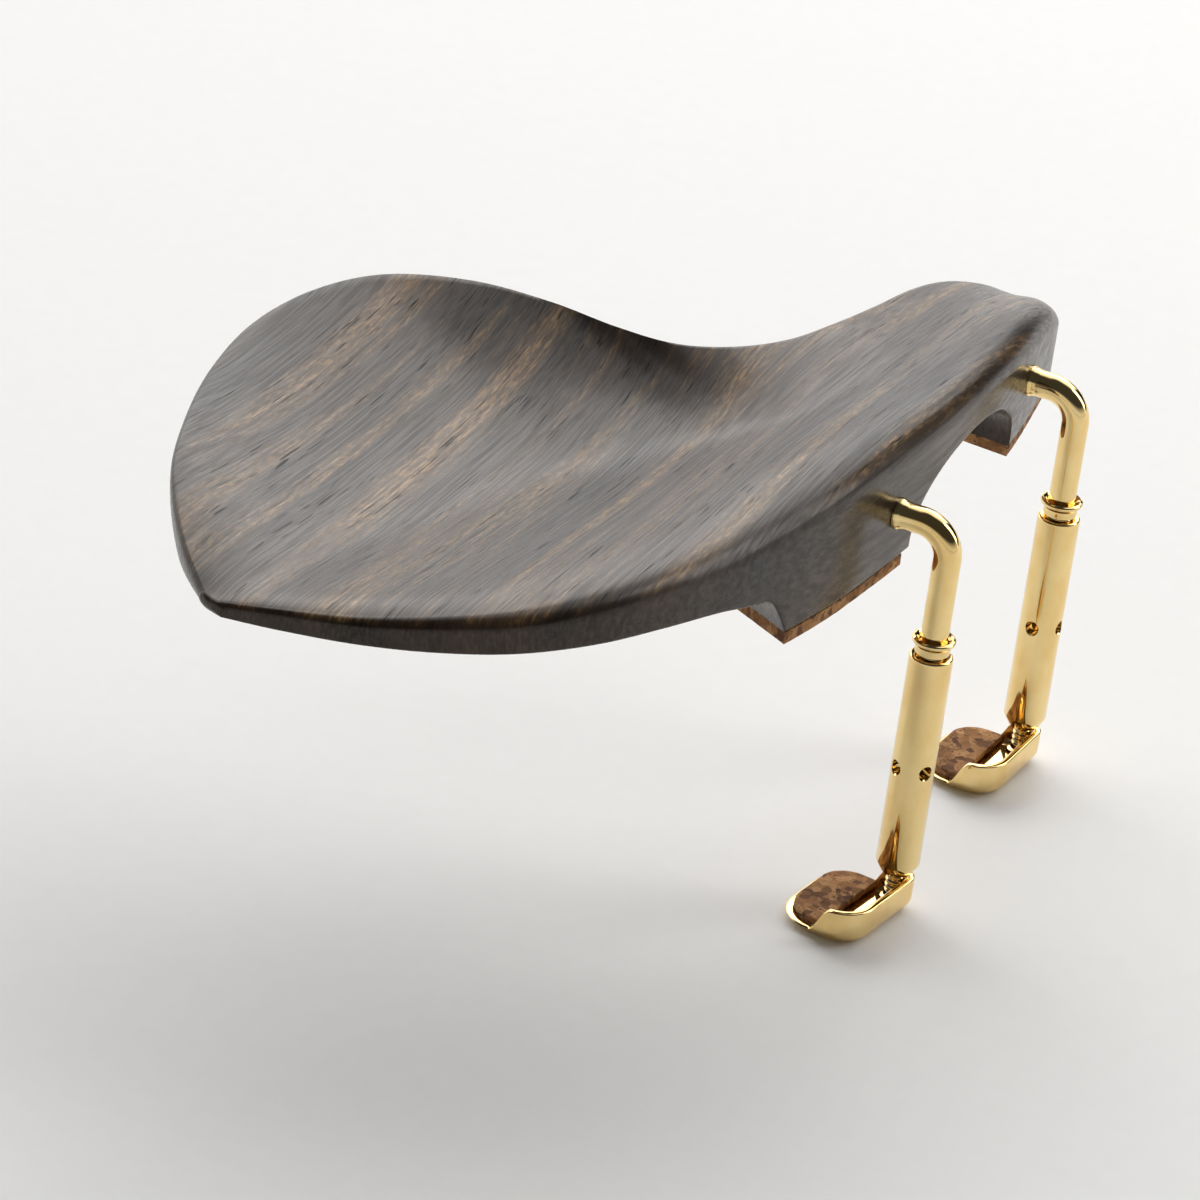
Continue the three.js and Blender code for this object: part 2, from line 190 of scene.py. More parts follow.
def turn(profile, centre, segments=64):
    """A closed profile of (radius, z) pairs turned about the vertical through centre."""
    rings = []
    for step in range(segments):
        angle = 2 * math.pi * step / segments
        rings.append(
            [
                Vector((centre.x + r * math.cos(angle), centre.y + r * math.sin(angle), z))
                for r, z in profile
            ]
        )
    made = bmesh.new()
    rows = [[made.verts.new(p) for p in ring] for ring in rings]
    count = len(profile)
    for step in range(segments):
        here, after = rows[step], rows[(step + 1) % segments]
        for i in range(count):
            j = (i + 1) % count
            made.faces.new((here[i], after[i], after[j], here[j]))
    return made


def arc(centre, radii, start, end, steps):
    """Points of an elliptical arc in a profile's plane, angles in degrees."""
    points = []
    for i in range(steps + 1):
        angle = math.radians(start + (end - start) * i / steps)
        points.append(
            (centre[0] + radii[0] * math.cos(angle), centre[1] + radii[1] * math.sin(angle))
        )
    return points


def mix(a, b, t):
    return a + (b - a) * t


def smooth(t):
    t = min(max(t, 0.0), 1.0)
    return t * t * (3 - 2 * t)


def piece(name, made, body, node, material, crease=35.0):
    """Turns a bmesh into a piece that rides on a body and stands for a CAD node."""
    bmesh.ops.recalc_face_normals(made, faces=made.faces)
    mesh = bpy.data.meshes.new(name)
    made.to_mesh(mesh)
    made.free()
    mesh.materials.append(material)
    mesh.shade_smooth()
    mesh.set_sharp_from_angle(angle=math.radians(crease))
    obj = bpy.data.objects.new(name, mesh)
    bpy.context.scene.collection.objects.link(obj)
    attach(obj, body)
    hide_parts(node)
    return obj


def cut(made, tools):
    """The mesh with each tool's mesh cut out of it."""
    target_mesh = bpy.data.meshes.new("cut_target")
    made.to_mesh(target_mesh)
    made.free()
    target = bpy.data.objects.new("cut_target", target_mesh)
    bpy.context.scene.collection.objects.link(target)
    cutters = []
    for tool in tools:
        bmesh.ops.recalc_face_normals(tool, faces=tool.faces)
        mesh = bpy.data.meshes.new("cutter")
        tool.to_mesh(mesh)
        tool.free()
        cutter = bpy.data.objects.new("cutter", mesh)
        bpy.context.scene.collection.objects.link(cutter)
        modifier = target.modifiers.new("cut", "BOOLEAN")
        modifier.operation = "DIFFERENCE"
        modifier.solver = "EXACT"
        modifier.object = cutter
        cutters.append(cutter)
    bpy.context.view_layer.update()
    ready = target.evaluated_get(bpy.context.evaluated_depsgraph_get())
    result = bmesh.new()
    result.from_mesh(ready.to_mesh())
    ready.to_mesh_clear()
    for obj in [target, *cutters]:
        mesh = obj.data
        bpy.data.objects.remove(obj)
        bpy.data.meshes.remove(mesh)
    return result


# ---- material helpers ---------------------------------------------------------------------------
# sockets of a Mix node that works on colours
FACTOR, FIRST, SECOND = 0, 6, 7
MIXED = 2


def add_node(tree, kind, links=None, stops=(), **values):
    """Adds a node: values set its attributes, links its inputs and stops its colour ramp."""
    node = tree.nodes.new(kind)
    for name, value in values.items():
        setattr(node, name, value)
    while stops and len(node.color_ramp.elements) < len(stops):
        node.color_ramp.elements.new(0.5)
    for number, (place, colour) in enumerate(stops):
        node.color_ramp.elements[number].position = place
        node.color_ramp.elements[number].color = (*colour, 1.0)
    for name, value in (links or {}).items():
        socket = node.inputs[name]
        if isinstance(value, bpy.types.NodeSocket):
            tree.links.new(value, socket)
        elif socket.type == "RGBA" and len(value) == 3:
            socket.default_value = (*value, 1.0)
        else:
            socket.default_value = value
    return node


def new_material(name, viewport_colour):
    material = bpy.data.materials.new(name)
    material.use_nodes = True
    material.diffuse_color = (*viewport_colour, 1.0)
    tree = material.node_tree
    tree.nodes.clear()
    output = add_node(tree, "ShaderNodeOutputMaterial")
    shader = add_node(tree, "ShaderNodeBsdfPrincipled")
    tree.links.new(shader.outputs["BSDF"], output.inputs["Surface"])
    return material, tree, shader


def grey(value):
    return (value, value, value)


def grain_noise(tree, vector, along, across, depth, detail=3.0, offset=0.0):
    """Noise stretched to a figure this long, wide and deep, in metres."""
    mapping = add_node(
        tree,
        "ShaderNodeMapping",
        {
            "Vector": vector,
            "Location": (offset, 0.7 * offset, 0.3 * offset),
            "Scale": (1 / along, 1 / across, 1 / depth),
        },
    )
    node = add_node(
        tree,
        "ShaderNodeTexNoise",
        {"Vector": mapping.outputs["Vector"], "Scale": 1.0, "Detail": detail, "Roughness": 0.55},
    )
    return node.outputs["Fac"]


def ebony_material():
    """Striped ebony, carved, sanded, oiled and buffed."""
    chosen = settings("plate")
    material, tree, shader = new_material("ebony_oiled_and_buffed", chosen.ebony_mid)
    # the grain runs across the violin, a few degrees off the X axis
    place = add_node(tree, "ShaderNodeTexCoord").outputs["Object"]
    turned = add_node(
        tree,
        "ShaderNodeMapping",
        {"Vector": place, "Rotation": (math.radians(4), math.radians(2), math.radians(3))},
    ).outputs["Vector"]
    # a slow sideways drift, so that no streak is ruler straight
    drift = grain_noise(tree, turned, 90 * MM, 16 * MM, 24 * MM, detail=1.0)
    drift_vector = add_node(
        tree, "ShaderNodeCombineXYZ", {"X": 0.0, "Y": drift, "Z": drift}
    ).outputs["Vector"]
    grain = add_node(
        tree,
        "ShaderNodeVectorMath",
        {0: drift_vector, 1: (0.0, 2.0 * MM, 1.0 * MM), 2: turned},
        operation="MULTIPLY_ADD",
    ).outputs["Vector"]
    # growth bands 8 mm wide that pass from black to grey-brown
    bands = grain_noise(tree, grain, 140 * MM, 8 * MM, 18 * MM, detail=3.0)
    heartwood = add_node(
        tree,
        "ShaderNodeValToRGB",
        {"Fac": bands},
        stops=[(0.38, chosen.ebony_dark), (0.60, chosen.ebony_mid)],
    ).outputs["Color"]
    # streaked zones 3.2 mm wide and 80 mm long, tinted tan
    zones = grain_noise(tree, grain, 80 * MM, 3.2 * MM, 14 * MM, detail=5.0, offset=7.0)
    zone_part = add_node(
        tree, "ShaderNodeValToRGB", {"Fac": zones}, stops=[(0.47, grey(0.0)), (0.68, grey(1.0))]
    ).outputs["Color"]
    # golden flecks 1.7 mm long and 0.3 mm wide, in rows inside the streaked zones
    flecks = grain_noise(tree, grain, 1.7 * MM, 0.3 * MM, 1.2 * MM, detail=2.0, offset=3.0)
    fleck_part = add_node(
        tree, "ShaderNodeValToRGB", {"Fac": flecks}, stops=[(0.48, grey(0.0)), (0.64, grey(0.85))]
    ).outputs["Color"]
    # the figure shows on the flat-sawn top and runs out on the steep sides
    upright = add_node(
        tree,
        "ShaderNodeSeparateXYZ",
        {"Vector": add_node(tree, "ShaderNodeTexCoord").outputs["Normal"]},
    ).outputs["Z"]
    top_part = add_node(
        tree,
        "ShaderNodeValToRGB",
        {"Fac": upright},
        stops=[(0.45, grey(0.08)), (0.85, grey(1.0))],
    ).outputs["Color"]
    zone_part = add_node(
        tree,
        "ShaderNodeMix",
        {FACTOR: 1.0, FIRST: zone_part, SECOND: top_part},
        data_type="RGBA",
        blend_type="MULTIPLY",
    ).outputs[MIXED]
    tan = add_node(
        tree,
        "ShaderNodeMix",
        {FACTOR: 0.30, FIRST: heartwood, SECOND: chosen.ebony_streak},
        data_type="RGBA",
    ).outputs[MIXED]
    tinted = add_node(
        tree,
        "ShaderNodeMix",
        {FACTOR: zone_part, FIRST: heartwood, SECOND: tan},
        data_type="RGBA",
    ).outputs[MIXED]
    amount = add_node(
        tree,
        "ShaderNodeMix",
        {FACTOR: 1.0, FIRST: fleck_part, SECOND: zone_part},
        data_type="RGBA",
        blend_type="MULTIPLY",
    ).outputs[MIXED]
    streaked = add_node(
        tree,
        "ShaderNodeMix",
        {FACTOR: amount, FIRST: tinted, SECOND: chosen.ebony_streak},
        data_type="RGBA",
    ).outputs[MIXED]
    # fibre 0.25 mm wide: the fine silky lines between the streaks
    fibre = grain_noise(tree, grain, 12 * MM, 0.25 * MM, 0.8 * MM, detail=3.0, offset=11.0)
    fibre_shade = add_node(
        tree, "ShaderNodeValToRGB", {"Fac": fibre}, stops=[(0.34, grey(0.58)), (0.66, grey(1.0))]
    ).outputs["Color"]
    fibred = add_node(
        tree,
        "ShaderNodeMix",
        {FACTOR: 0.85, FIRST: streaked, SECOND: fibre_shade},
        data_type="RGBA",
        blend_type="MULTIPLY",
    ).outputs[MIXED]
    # open pores: dark dashes 5 mm long, drawn 0.24 mm wide, coarser than the real
    # 0.1 mm so that they show
    pores = grain_noise(tree, grain, 5.0 * MM, 0.24 * MM, 1.2 * MM, detail=0.5, offset=17.0)
    pore_dashes = add_node(
        tree, "ShaderNodeValToRGB", {"Fac": pores}, stops=[(0.66, grey(0.0)), (0.72, grey(0.8))]
    ).outputs["Color"]
    # they come in rows
    rows = grain_noise(tree, grain, 30 * MM, 3.0 * MM, 8 * MM, detail=1.0, offset=23.0)
    row_part = add_node(
        tree, "ShaderNodeValToRGB", {"Fac": rows}, stops=[(0.42, grey(0.15)), (0.58, grey(1.0))]
    ).outputs["Color"]
    row_part = add_node(
        tree,
        "ShaderNodeMix",
        {FACTOR: 1.0, FIRST: row_part, SECOND: top_part},
        data_type="RGBA",
        blend_type="MULTIPLY",
    ).outputs[MIXED]
    pore_part = add_node(
        tree,
        "ShaderNodeMix",
        {FACTOR: 1.0, FIRST: pore_dashes, SECOND: row_part},
        data_type="RGBA",
        blend_type="MULTIPLY",
    ).outputs[MIXED]
    coloured = add_node(
        tree,
        "ShaderNodeMix",
        {FACTOR: pore_part, FIRST: fibred, SECOND: linear("#0F0B09")},
        data_type="RGBA",
    ).outputs[MIXED]
    tree.links.new(coloured, shader.inputs["Base Color"])
    # buffing leaves the dense bands glossier than the open fibre, and the pores dull
    roughness = add_node(
        tree, "ShaderNodeValToRGB", {"Fac": fibre}, stops=[(0.34, grey(0.32)), (0.66, grey(0.24))]
    ).outputs["Color"]
    tree.links.new(roughness, shader.inputs["Roughness"])
    lustre = add_node(
        tree, "ShaderNodeValToRGB", {"Fac": fibre}, stops=[(0.34, grey(0.26)), (0.66, grey(0.46))]
    ).outputs["Color"]
    shine = add_node(
        tree,
        "ShaderNodeMix",
        {FACTOR: pore_part, FIRST: lustre, SECOND: grey(0.02)},
        data_type="RGBA",
    ).outputs[MIXED]
    tree.links.new(shine, shader.inputs["Specular IOR Level"])
    height = add_node(
        tree,
        "ShaderNodeMix",
        {FACTOR: pore_part, FIRST: fibre_shade, SECOND: grey(0.0)},
        data_type="RGBA",
    ).outputs[MIXED]
    bump = add_node(
        tree,
        "ShaderNodeBump",
        {"Height": height, "Strength": 0.3, "Distance": 0.04 * MM},
    )
    tree.links.new(bump.outputs["Normal"], shader.inputs["Normal"])
    shader.inputs["IOR"].default_value = 1.5
    shader.inputs["Specular Tint"].default_value = (1.0, 0.93, 0.86, 1.0)
    shader.inputs["Coat Weight"].default_value = 0.08
    shader.inputs["Coat Roughness"].default_value = 0.14
    return material


def gold_material():
    """Gold plating on polished brass."""
    chosen = settings("clamp")
    material, tree, shader = new_material("gold_plate_polished", chosen.gold)
    place = add_node(tree, "ShaderNodeTexCoord").outputs["Object"]
    # handling leaves soft cloudy patches a few millimetres across
    clouds = grain_noise(tree, place, 4 * MM, 4 * MM, 6 * MM, detail=3.0)
    # polishing lines, drawn 0.15 mm apart, coarser than real so that they show
    lines = grain_noise(tree, place, 2.5 * MM, 2.5 * MM, 0.15 * MM, detail=2.0, offset=5.0)
    deep = linear("#E6BF76")
    tint = add_node(
        tree, "ShaderNodeValToRGB", {"Fac": clouds}, stops=[(0.15, deep), (0.62, chosen.gold)]
    ).outputs["Color"]
    tree.links.new(tint, shader.inputs["Base Color"])
    roughness = add_node(
        tree, "ShaderNodeValToRGB", {"Fac": clouds}, stops=[(0.3, grey(0.07)), (0.7, grey(0.11))]
    ).outputs["Color"]
    tree.links.new(roughness, shader.inputs["Roughness"])
    bump = add_node(
        tree, "ShaderNodeBump", {"Height": lines, "Strength": 0.06, "Distance": 0.02 * MM}
    )
    tree.links.new(bump.outputs["Normal"], shader.inputs["Normal"])
    shader.inputs["Metallic"].default_value = 1.0
    return material


def cork_material():
    """Agglomerated sheet cork, knife cut and sanded."""
    chosen = settings("cork")
    material, tree, shader = new_material("cork_sheet_sanded", chosen.light)
    place = add_node(tree, "ShaderNodeTexCoord").outputs["Object"]
    cells = add_node(
        tree,
        "ShaderNodeTexVoronoi",
        {"Vector": place, "Scale": 1 / chosen.granule, "Randomness": 1.0},
    )
    granule_tone = add_node(tree, "ShaderNodeSeparateColor", {"Color": cells.outputs["Color"]})
    granules = add_node(
        tree,
        "ShaderNodeValToRGB",
        {"Fac": granule_tone.outputs["Red"]},
        stops=[(0.0, chosen.dark), (0.35, linear("#93663C")), (1.0, chosen.light)],
    ).outputs["Color"]
    specks = grain_noise(tree, place, 0.35 * MM, 0.35 * MM, 0.35 * MM, detail=4.0)
    speck_part = add_node(
        tree, "ShaderNodeValToRGB", {"Fac": specks}, stops=[(0.56, grey(0.0)), (0.68, grey(1.0))]
    ).outputs["Color"]
    coloured = add_node(
        tree,
        "ShaderNodeMix",
        {FACTOR: speck_part, FIRST: granules, SECOND: chosen.dark},
        data_type="RGBA",
    ).outputs[MIXED]
    tree.links.new(coloured, shader.inputs["Base Color"])
    pits = add_node(
        tree,
        "ShaderNodeMix",
        {FACTOR: 1.0, FIRST: speck_part, SECOND: cells.outputs["Distance"]},
        data_type="RGBA",
        blend_type="SUBTRACT",
    ).outputs[MIXED]
    bump = add_node(
        tree,
        "ShaderNodeBump",
        {"Height": pits, "Strength": 0.6, "Distance": 0.12 * MM},
        invert=True,
    )
    tree.links.new(bump.outputs["Normal"], shader.inputs["Normal"])
    shader.inputs["Roughness"].default_value = 0.92
    return material


def floor_material():
    """Matt white paper sweep."""
    material, tree, shader = new_material("paper_sweep_matt", settings("stage").floor)
    place = add_node(tree, "ShaderNodeTexCoord").outputs["Object"]
    fibres = grain_noise(tree, place, 3 * MM, 3 * MM, 3 * MM, detail=4.0)
    white = settings("stage").floor
    tone = add_node(
        tree,
        "ShaderNodeValToRGB",
        {"Fac": fibres},
        stops=[(0.3, tuple(0.985 * c for c in white)), (0.7, tuple(white))],
    ).outputs["Color"]
    tree.links.new(tone, shader.inputs["Base Color"])
    shader.inputs["Roughness"].default_value = 0.85
    return material


MATERIALS = {}


def material_of(maker):
    """Each material is made once and shared by its pieces."""
    key = maker.__name__
    if key not in MATERIALS:
        MATERIALS[key] = maker()
    return MATERIALS[key]


# ---- the carved plate ---------------------------------------------------------------------------
# Sections in millimetres, from the middle of the violin's lower end at its top edge.
# wall: x, y of the outer wall and the height of its crest; rim: x, y, z of the rim nearest
# the scroll; inset: how far the crest stands in; dish: depth of the cup; low: height of the
# wall's free lower edge.
# ORIGIN is where the row frame's origin lies from there.
ORIGIN = Vector((-28.0, 9.0, 0.0))
STATIONS = [
    ((-88.2, 50.0, 11.3), (-87.3, 52.6, 11.4), (0.7, 0.0, 9.8)),
    ((-86.9, 43.6, 11.9), (-80.5, 59.0, 13.6), (0.8, 0.8, 9.7)),
    ((-84.8, 35.7, 12.5), (-71.5, 64.8, 15.5), (1.0, 2.0, 9.7)),
    ((-81.7, 28.4, 13.4), (-60.5, 68.9, 16.0), (1.2, 3.2, 9.8)),
    ((-77.2, 21.6, 14.2), (-48.8, 71.9, 16.1), (1.5, 4.1, 9.9)),
    ((-70.0, 16.0, 14.8), (-37.0, 73.0, 16.4), (1.8, 4.7, 9.6)),
    ((-62.0, 12.0, 15.2), (-26.8, 70.9, 17.0), (2.1, 5.0, 9.2)),
    ((-54.0, 9.1, 15.5), (-19.2, 65.9, 17.5), (2.4, 5.1, 8.4)),
    ((-46.0, 6.9, 16.0), (-15.4, 57.2, 17.9), (2.6, 4.4, 6.9)),
    ((-38.5, 5.1, 16.5), (-15.0, 48.0, 18.0), (2.8, 3.7, 7.0)),
    ((-31.5, 3.8, 16.9), (-16.2, 39.5, 18.0), (2.9, 3.0, 7.4)),
    ((-25.0, 3.0, 17.1), (-16.0, 32.5, 18.0), (3.0, 2.5, 7.4)),
    ((-18.0, 2.3, 17.2), (-12.4, 26.9, 17.9), (3.0, 2.0, 7.4)),
    ((-10.0, 1.7, 17.0), (-6.0, 22.9, 17.5), (3.0, 1.7, 7.4)),
    ((0.0, 1.4, 16.6), (2.5, 20.7, 16.8), (3.0, 1.3, 7.4)),
    ((10.0, 1.6, 15.9), (12.0, 19.4, 15.6), (3.0, 1.0, 7.4)),
    ((19.0, 2.2, 15.1), (20.5, 18.3, 14.7), (3.0, 0.8, 7.4)),
    ((27.0, 3.1, 13.6), (27.6, 16.7, 13.4), (2.8, 0.5, 7.4)),
    ((33.0, 4.0, 11.7), (33.2, 14.0, 11.6), (2.4, 0.3, 7.4)),
    ((36.8, 5.2, 9.3), (36.9, 11.3, 9.3), (1.6, 0.1, 6.0)),
    ((38.3, 7.2, 7.6), (38.5, 9.0, 7.6), (0.6, 0.0, 5.0)),
]
FOOT_Z = 1.8
FOOT_DEPTH = 12.0
NOTCH_X = -41.7
NOTCH_RUN = 4.4
ARCH_X = -0.5
ARCH_HALF = 15.2
ARCH_TOP = 10.4
THICKNESS = 3.9
# the crest rolls over this much wider than its inset, and no higher
CREST_SPREAD = 1.35
# the part of each end that is left to the rounded tip, and the tip's reach in millimetres
END_SHARE = 0.004
TIP_REACH = 0.5
# sections closer together than this are one section
LEAST_SHARE = 0.00012


def along_stations(pick, share):
    """Smooth curve through one column of the stations, share running from 0 to 1."""
    points = [Vector(station[pick]) for station in STATIONS]
    points = [2 * points[0] - points[1], *points, 2 * points[-1] - points[-2]]
    spans = len(points) - 3
    place = min(max(share, 0.0), 1.0) * spans
    i = min(int(place), spans - 1)
    t = place - i
    before, a, b, after = points[i : i + 4]
    leave, arrive = (b - before) / 2, (after - a) / 2
    return (
        a
        + leave * t
        + (3 * (b - a) - 2 * leave - arrive) * t * t
        + (2 * (a - b) + leave + arrive) * t * t * t
    )


def share_at(x):
    """Where along the stations the wall reaches a given x."""
    low, high = 0.0, 1.0
    for _ in range(40):
        mid = (low + high) / 2
        if along_stations(0, mid).x < x:
            low = mid
        else:
            high = mid
    return (low + high) / 2


def standing_height(x, low):
    """The standing edge: the feet, the arch between them, or the free wall."""
    if x < NOTCH_X:
        t = min((NOTCH_X - x) / NOTCH_RUN, 1.0)
        return mix(FOOT_Z, low, math.sin(math.pi / 2 * t))
    across = (x - ARCH_X) / ARCH_HALF
    if abs(across) < 1:
        return FOOT_Z + (ARCH_TOP - FOOT_Z) * (1 - across * across) ** 0.42
    return FOOT_Z


def hollow(t):
    """Profile of the cup, 0 at the crest and the rim and 1 at its deepest."""
    turn_place = 0.45
    if t < turn_place:
        return smooth(t / turn_place)
    x = (t - turn_place) / (1 - turn_place)
    return (1 - x * x) * (1 - 0.3 * x * x)


def foot_depth(span):
    """How far a foot reaches in from the wall, less where the plate is narrow."""
    return min(FOOT_DEPTH, 0.72 * span - 0.2)


def plate_section(share):
    """One closed section of the plate, as points in the row frame."""
    chosen = settings("plate")
    wall = along_stations(0, share)
    rim = along_stations(1, share)
    inset, dish, low = along_stations(2, share)
    inset *= CREST_SPREAD
    across = Vector((rim.x - wall.x, rim.y - wall.y, 0.0))
    span = across.length
    across.normalize()
    crest = wall.z
    lip = min(chosen.lip_round / MM, 0.22 * span)
    edge = min(chosen.edge_round / MM, 0.1 * span, 0.25 * inset + 0.05)
    standing = standing_height(wall.x, low)
    free = wall.x < NOTCH_X - NOTCH_RUN
    depth = foot_depth(span)
    step = min(0.5, 0.06 * span)
    thin = min(THICKNESS, rim.z - low - 0.2)

    def surface(s):
        t = min(max((s - inset) / (span - inset), 0.0), 1.0)
        return crest + (rim.z - crest) * t - dish * hollow(t)

    def under(s):
        wing = max(surface(s) - thin, 0.0 if free else standing + 0.3)
        share_in = smooth(s / min(7.0, 0.6 * span))
        return mix(low if free else wing, wing, share_in)

    def flat(s):
        return under(s) if free else standing

    roll = min(1.1 * inset / CREST_SPREAD, crest - low - 0.4)
    inner = span - 2.2 * lip
    outline = []
    for s, z in arc((edge, edge), (edge, edge), 270, 180, 4):
        outline.append((s, standing + z))
    for i in range(1, 9):
        outline.append((0.0, mix(standing + edge, crest - roll, i / 9)))
    outline += arc((inset, crest - roll), (inset, roll), 180, 90, 16)
    for i in range(1, 58):
        s = mix(inset, span - lip, i / 58)
        outline.append((s, surface(s)))
    rim_top = surface(span - lip)
    outline += arc((span - lip, rim_top - lip), (lip, lip), 90, 0, 8)
    belly = under(inner)
    turn_in = (inner, mix(belly, rim_top - lip, 0.999))
    outline += arc(turn_in, (span - inner, max(rim_top - lip - belly, 0.05)), -8, -90, 8)
    for i in range(1, 28):
        s = mix(inner, depth + step, i / 27)
        outline.append((s, under(s)))
    outline.append((depth, flat(depth)))
    for i in range(1, 7):
        s = mix(depth, edge, i / 7)
        outline.append((s, flat(s)))
    shift = Vector((wall.x, wall.y, 0.0)) - ORIGIN
    return [(shift + across * s + Vector((0, 0, z))) * MM for s, z in outline]


def plate_shares():
    """Places of the sections: even along the plate, closer where the standing edge turns."""
    count = settings("plate").sections
    shares = [i / count for i in range(count + 1)]
    for i in range(41):
        shares.append(share_at(ARCH_X - ARCH_HALF * math.cos(math.pi * i / 40)))
    for i in range(13):
        shares.append(share_at(NOTCH_X - NOTCH_RUN * i / 12))
    for x in (NOTCH_X - NOTCH_RUN - 0.1, ARCH_X - ARCH_HALF - 0.02, ARCH_X + ARCH_HALF + 0.02):
        shares.append(share_at(x))
    shares.sort()
    kept = [shares[0]]
    for share in shares[1:]:
        if share - kept[-1] > LEAST_SHARE:
            kept.append(share)
    return kept


def section_normal(share):
    """Level normal of a section, towards the treble end."""
    across = along_stations(1, share) - along_stations(0, share)
    return Vector((across.y, -across.x, 0.0)).normalized()


def domed(rings, outward):
    """The end ring drawn in over a few steps, so that the tip is rounded, not sawn off."""
    last = rings[-1]
    hub = sum(last, Vector()) / len(last)
    reach = TIP_REACH * MM
    tip = []
    for angle in (20, 40, 60, 76, 88):
        a = math.radians(angle)
        pull = outward * reach * math.sin(a)
        tip.append([hub + (p - hub) * math.cos(a) + pull for p in last])
    return rings + tip


def plate_mesh():
    shares = plate_shares()
    first, last = END_SHARE, 1 - END_SHARE
    inside = [s for s in shares if first < s < last]
    rings = [plate_section(s) for s in [first, *inside, last]]
    rings = domed(rings, section_normal(1.0))
    rings = domed(rings[::-1], -section_normal(0.0))
    return skin(rings)


def rod_bore(side):
    """Cutter for the hook's hole, from outside the wall to beyond the hook's inner end."""
    low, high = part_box("hook_" + side)
    radius = HOOK_R * MM + settings("plate").bore_clearance
    centre = Vector((middle("hook_" + side).x, 0.0, hook_height(side)))
    rings = []
    for y in (high.y - 14 * MM, high.y + 0.4 * MM):
        ring = []
        for i in range(48):
            angle = 2 * math.pi * i / 48
            offset = Vector((radius * math.cos(angle), 0.0, radius * math.sin(angle)))
            ring.append(Vector((centre.x, y, centre.z)) + offset)
        rings.append(ring)
    return skin(rings)


class CHINREST_OT_plate(bpy.types.Operator):
    """Carved ebony plate with its cup, crest, feet and arch"""

    bl_idname = "chinrest.plate"
    bl_label = "Ebony plate"

    def execute(self, context):
        made = cut(plate_mesh(), [rod_bore(side) for side in SIDES])
        material = material_of(ebony_material)
        piece("ebony_plate", made, "rest", "rest_plate", material, crease=40)
        return {"FINISHED"}


# ---- cork ---------------------------------------------------------------------------------------
def cork_slab(outline, low, high, seed):
    """A slab of cork with softened, slightly ragged edges."""
    hub = sum(outline, Vector()) / len(outline)
    rings = []
    round_off = 0.18 * MM
    height = high - low
    levels = [(low, 3.0), (low, 1.0), (low + 0.3 * round_off, 0.3), (low + round_off, 0.0)]
    levels += [(low + 0.5 * height, 0.0)]
    levels += [(high - round_off, 0.0), (high - 0.3 * round_off, 0.3), (high, 1.0), (high, 3.0)]
    for z, drawn_in in levels:
        ring = []
        for p in outline:
            inward = (hub - p).normalized()
            ragged = noise.noise(Vector((p.x, p.y, z)) * 1400 + Vector((seed, 0, 0)))
            ring.append(
                p + inward * (drawn_in * round_off + 0.05 * MM * (1 + ragged)) + Vector((0, 0, z))
            )
        rings.append(ring)
    return skin(rings)


def pad_outline(from_x, to_x):
    """Follows the wall on the outside and the foot's depth on the inside."""
    steps = 44
    outer, inner = [], []
    for i in range(steps + 1):
        share = share_at(mix(from_x, to_x, i / steps))
        wall = along_stations(0, share)
        rim = along_stations(1, share)
        across = Vector((rim.x - wall.x, rim.y - wall.y, 0.0))
        depth = foot_depth(across.length)
        across.normalize()
        foot = Vector((wall.x, wall.y, 0.0)) - ORIGIN
        outer.append((foot + across * 0.3) * MM)
        inner.append((foot + across * (depth - 0.3)) * MM)
    ends = 10
    far = [outer[-1].lerp(inner[-1], i / ends) for i in range(1, ends)]
    near = [inner[0].lerp(outer[0], i / ends) for i in range(1, ends)]
    return [*outer, *far, *inner[::-1], *near]


PAD_SPANS = {
    "bass": (NOTCH_X + 0.4, ARCH_X - ARCH_HALF - 0.8),
    "treble": (ARCH_X + ARCH_HALF + 0.8, 37.2),
}


class CHINREST_OT_cork_pads(bpy.types.Operator):
    """Cork pads under the plate's feet"""

    bl_idname = "chinrest.cork_pads"
    bl_label = "Cork pads"

    def execute(self, context):
        material = material_of(cork_material)
        for seed, side in enumerate(SIDES):
            node = "cork_pad_" + side
            made = cork_slab(pad_outline(*PAD_SPANS[side]), bottom(node), top(node), 5.0 * seed)
            piece("cork_under_plate_" + side, made, "rest", node, material)
        return {"FINISHED"}


# ---- clamps -------------------------------------------------------------------------------------
# How far along the rod each ring of the shoulder stands out of the wood's face, and its
# radius, in millimetres.
SHOULDER = (
    (0.2, 1.6),
    (0.15, BEAD_R - 0.05),
    (0.08, BEAD_R),
    (-0.32, BEAD_R),
    (-0.42, BEAD_R - 0.03),
    (-0.52, BEAD_R - 0.1),
    (-0.75, BEAD_R - 0.16),
    (-1.05, HOOK_R + 0.03),
    (-1.3, HOOK_R),
)
# Height over the foot's floor and radius of each ring of the stud's flange.
STUD_FLANGE = (
    (0.95, 1.05),
    (0.8, 1.08),
    (0.72, 1.3),
    (0.62, 1.42),
    (0.3, 1.45),
    (0.1, 1.5),
    (-0.1, 1.6),
)
KEY_HOLE_Z = -21.2
# Reach along a cross hole from the barrel's axis, and how much wider its countersink is there.
KEY_HOLE_RINGS = ((-2.75, 0.3), (-2.25, 0.0), (2.25, 0.0), (2.75, 0.3))
COLLAR_BORE = 1.66


def hook_height(side):
    return top("hook_" + side) - BEAD_R * MM


def axis_of(side):
    centre = middle("barrel_" + side)
    return Vector((centre.x, centre.y, 0.0))


def ring_about(centre, side_way, up_way, radii):
    count = len(radii)
    ring = []
    for i, r in enumerate(radii):
        angle = 2 * math.pi * i / count
        ring.append(centre + side_way * (r * math.cos(angle)) + up_way * (r * math.sin(angle)))
    return ring


